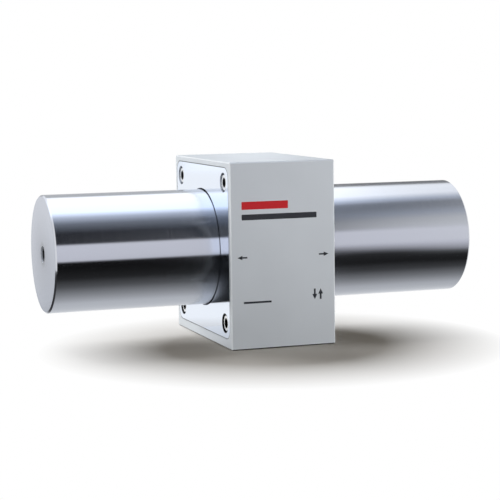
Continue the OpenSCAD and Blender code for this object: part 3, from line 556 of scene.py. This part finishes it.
# Each band has its angle about the shaft axis in degrees, 0 in front, 90 above and -90 below, and its light.
left_bands = [(-164, 1.0), (-118, 0.8), (-78, 0.68), (-61, 0.355), (-48, 0.12), (-36, 0.025), (-25, 0.013),
              (-11.5, 0.004), (-8.5, 0.80), (19.5, 0.84), (23, 0.012), (43, 0.012), (53, 0.12), (63, 0.26),
              (77, 0.8), (89, 1.8), (132, 1.8), (140, 1.6), (145, 0.62), (180, 0.58)]
middle_bands = [(-164, 1.0), (-118, 0.82), (-78, 0.64), (-61, 0.31), (-48, 0.1), (-36, 0.02), (-25, 0.02),
                (-13, 0.2), (-5, 0.8), (19, 0.82), (26, 0.04), (43, 0.05), (53, 0.2), (63, 0.32), (77, 0.6),
                (89, 1.8), (140, 1.8), (180, 1.8)]
right_bands = [(-164, 1.0), (-118, 0.85), (-78, 0.6), (-61, 0.26), (-48, 0.065), (-36, 0.015), (-22, 0.03),
               (-18, 0.12), (-13, 0.42), (0, 0.78), (19, 0.8), (30, 0.52), (49, 0.32), (72, 0.14), (77, 0.2),
               (88, 0.85), (101, 1.9), (132, 1.9), (140, 1.4), (145, 0.25), (180, 0.2)]
far_right_bands = [(-164, 1.0), (-118, 0.85), (-78, 0.6), (-61, 0.26), (-48, 0.065), (-38, 0.015),
                   (-29, 0.03), (-24, 0.14), (-19, 0.5), (-8, 0.85), (19, 0.87), (30, 0.78), (42, 0.66),
                   (55, 0.44), (68, 0.22), (80, 0.16), (91, 0.5), (106, 1.15), (132, 1.2), (140, 1.1),
                   (145, 0.25), (180, 0.2)]
far_left_bands = [(-180, 1.15), (-177, 1.15), (-174.5, 0.72), (-164, 0.8), (-130, 0.05), (-60, 0.05),
                  (-25, 0.02), (-13, 0.008), (-10, 1.3), (19.5, 1.3), (23, 0.16), (41, 0.15), (53, 0.18),
                  (63, 0.24), (77, 0.6), (89, 1.7), (134, 1.8), (146, 1.15), (180, 1.15)]
card_glow, tree = new_material("card_glow")
place = add_node(tree, "TexCoord").outputs["Object"]
about_axis = add_node(tree, "Mapping", {"Vector": place, "Location": -shaft_axis}).outputs["Vector"]
axes = add_node(tree, "SeparateXYZ", {"Vector": about_axis})
front = add_node(tree, "Math", {0: axes.outputs["Y"], 1: -1}, operation="MULTIPLY").outputs["Value"]
turn = add_node(tree, "Math", {0: axes.outputs["Z"], 1: front}, operation="ARCTAN2").outputs["Value"]
turned = add_node(tree, "MapRange", {"Value": turn, "From Min": -math.pi, "From Max": math.pi})
ramps = []
for bands in (left_bands, middle_bands, right_bands, far_right_bands, far_left_bands):
    ramp = add_node(tree, "ValToRGB", {"Fac": turned.outputs["Result"]})
    while len(ramp.color_ramp.elements) < len(bands):
        ramp.color_ramp.elements.new(0.5)
    for element, (angle, level) in zip(ramp.color_ramp.elements, bands):
        element.position = (angle + 180) / 360
        tint = card_tint
        if 20 < angle < 45 and level < 0.1:
            tint = dark_tint
        elif 45 < angle < 92:
            tint = cool_tint
        elif -20 < angle < 20:
            tint = band_tint
        element.color = [part * level / card_strength for part in tint] + [1]
    ramps.append(ramp.outputs["Color"])
across = add_node(tree, "CombineXYZ", {"Y": axes.outputs["Y"], "Z": axes.outputs["Z"]}).outputs["Vector"]
reach = add_node(tree, "VectorMath", {0: across}, operation="LENGTH").outputs["Value"]
shares = []
for near, far, lean in (card_middle, card_right, card_far_right, card_far_left, card_shade):
    slant = add_node(tree, "Math", {0: reach, 1: lean, 2: axes.outputs["X"]}, operation="MULTIPLY_ADD")
    share = add_node(tree, "MapRange", {"Value": slant.outputs["Value"], "From Min": near, "From Max": far})
    shares.append(share.outputs["Result"])
*shares, shade_share = shares
past = add_node(tree, "MapRange", {"Value": axes.outputs["X"], "From Min": card_right_end[0],
                                   "From Max": card_right_end[1]}).outputs["Result"]
paths = add_node(tree, "LightPath")
direct = add_node(tree, "Math", {0: paths.outputs["Diffuse Depth"], 1: 0.5}, operation="LESS_THAN")
direct = direct.outputs["Value"]
power = add_node(tree, "Math", {0: direct, 1: card_strength}, operation="MULTIPLY").outputs["Value"]
twice = add_node(tree, "Math", {0: paths.outputs["Glossy Depth"], 1: 1.5}, operation="GREATER_THAN")
below = add_node(tree, "MapRange", {"Value": turn, "From Min": shade_turn[0], "From Max": shade_turn[1],
                                    "To Max": twice.outputs["Value"]}).outputs["Result"]
shaded = add_node(tree, "Math", {0: shade_share, 1: below}, operation="MULTIPLY").outputs["Value"]
power = add_node(tree, "MapRange", {"Value": shaded, "To Min": power, "To Max": shade_strength})
power = power.outputs["Result"]
bands = ramps[0]
for share, ramp in zip(shares, ramps[1:]):
    bands = add_node(tree, "MixRGB", {"Fac": share, "Color1": bands, "Color2": ramp}).outputs["Color"]
cards_glow = add_node(tree, "Emission", {"Color": bands, "Strength": power}).outputs["Emission"]
room_glow = add_node(tree, "Emission", {"Color": (1, 1, 1, 1), "Strength": direct}).outputs["Emission"]
ended = add_node(tree, "MixShader", {"Fac": past, 1: cards_glow, 2: room_glow}).outputs["Shader"]
add_node(tree, "OutputMaterial", {"Surface": ended})
bm = bmesh.new()
start = Vector((-card_half_l, -card_r, 0))
start.rotate(Matrix.Rotation(math.radians(-card_from), 3, "X"))
ends = [bm.verts.new(start), bm.verts.new(start + Vector((2 * card_half_l, 0, 0)))]
edge = bm.edges.new(ends)
bmesh.ops.spin(bm, geom=[*ends, edge], cent=(0, 0, 0), axis=(1, 0, 0),
               angle=math.radians(card_from - card_to), steps=card_steps, use_merge=False)
bmesh.ops.translate(bm, verts=bm.verts, vec=(0, 0, shaft_axis.z))
cloth_back = 0.06
cloth_left = -0.42
sheet_lift = 0.5 * mm
cloth = bmesh.ops.create_grid(bm, x_segments=2, y_segments=40, size=0.5)
bmesh.ops.scale(bm, verts=cloth["verts"], vec=(card_half_l - cloth_left, card_r + cloth_back, 1))
bmesh.ops.translate(bm, verts=cloth["verts"], vec=(
    (card_half_l + cloth_left) / 2, (cloth_back - card_r) / 2, sheet_lift))
grey_from = 0.06
grey_l = 1.5
grey_w = 1.0
grey_lean = -0.345
grey_edge = -0.135
grey = bmesh.ops.create_grid(bm, x_segments=2, y_segments=20, size=0.5)
bmesh.ops.scale(bm, verts=grey["verts"], vec=(grey_w, grey_l, 1))
bmesh.ops.translate(bm, verts=grey["verts"], vec=(
    grey_edge - grey_w / 2, grey_from + grey_l / 2, sheet_lift))
bmesh.ops.transform(bm, verts=grey["verts"], matrix=Matrix.Shear("XZ", 4, (grey_lean, 0)))
cards = add_object("studio_cards", bm, card_glow)
cards.visible_camera = False
cards.visible_diffuse = False
cards.visible_shadow = False
cards.visible_transmission = False

# Soft box: one long lamp above and behind the sensor, which throws the soft shadow forward.
# Low fills light the housing and hardly touch the floor: a wide one its front, one at the left its end, and a
# small one at the right that side of the front.
lamp_aim = Vector((0, 0, 0.09))


def add_lamp(name, width, height, energy, location):
    """Hangs a soft rectangular lamp that the polished metal doesn't mirror."""
    lamp = bpy.data.lights.new(name, "AREA")
    lamp.shape = "RECTANGLE"
    lamp.size = width
    lamp.size_y = height
    lamp.energy = energy
    holder = bpy.data.objects.new(name, lamp)
    holder.location = location
    holder.rotation_euler = (lamp_aim - holder.location).to_track_quat("-Z", "Y").to_euler()
    holder.visible_glossy = False
    bpy.context.scene.collection.objects.link(holder)


add_lamp("soft_box", width=1.3, height=1.6, energy=32.5, location=(-0.46, 1.42, 1.66))
add_lamp("front_fill", width=1.6, height=0.16, energy=11.9, location=(-0.1, -2.2, 0.12))
add_lamp("left_fill", width=0.8, height=0.16, energy=28, location=(-2.0, 0.25, 0.20))
add_lamp("right_fill", width=0.4, height=0.05, energy=3.5, location=(0.60, -0.55, 0.03))

# Room: plain white where the camera and the metal look past the cards, and a softer even light elsewhere.
# The light on the object stays at a plain level, so colours show about as they are written.
room_light = 0.08
world = bpy.data.worlds.new("white_room")
world.use_nodes = True
tree = world.node_tree
tree.nodes.clear()
white = add_node(tree, "Background", {"Color": (1, 1, 1, 1), "Strength": 1}).outputs["Background"]
soft = add_node(tree, "Background", {"Color": (1, 1, 1, 1), "Strength": room_light}).outputs["Background"]
mixed = add_node(tree, "MixShader", {"Fac": seen_ray(tree), 1: soft, 2: white}).outputs["Shader"]
add_node(tree, "OutputWorld", {"Surface": mixed})
bpy.context.scene.world = world

# Camera: a long lens, a little above the shaft and to the left of the front.
# Its place and turn were solved from the corners of the housing and the rims of the shaft.
sensor_mm = 36
focal_mm = 114.4
camera_at = (-0.5034, -1.4445, 0.2465)
lens = bpy.data.cameras.new("camera")
lens.sensor_width = sensor_mm
lens.lens = focal_mm
camera = bpy.data.objects.new("camera", lens)
heading, dip, roll = (math.radians(a) for a in (19.11, 6.131, -0.793))
view = Matrix.Rotation(-heading, 4, "Z") @ Matrix.Rotation(math.pi / 2 - dip, 4, "X")
view = view @ Matrix.Rotation(roll, 4, "Z")
camera.matrix_world = Matrix.Translation(camera_at) @ view
bpy.context.scene.collection.objects.link(camera)
bpy.context.scene.camera = camera
bpy.context.scene.view_settings.view_transform = "Standard"
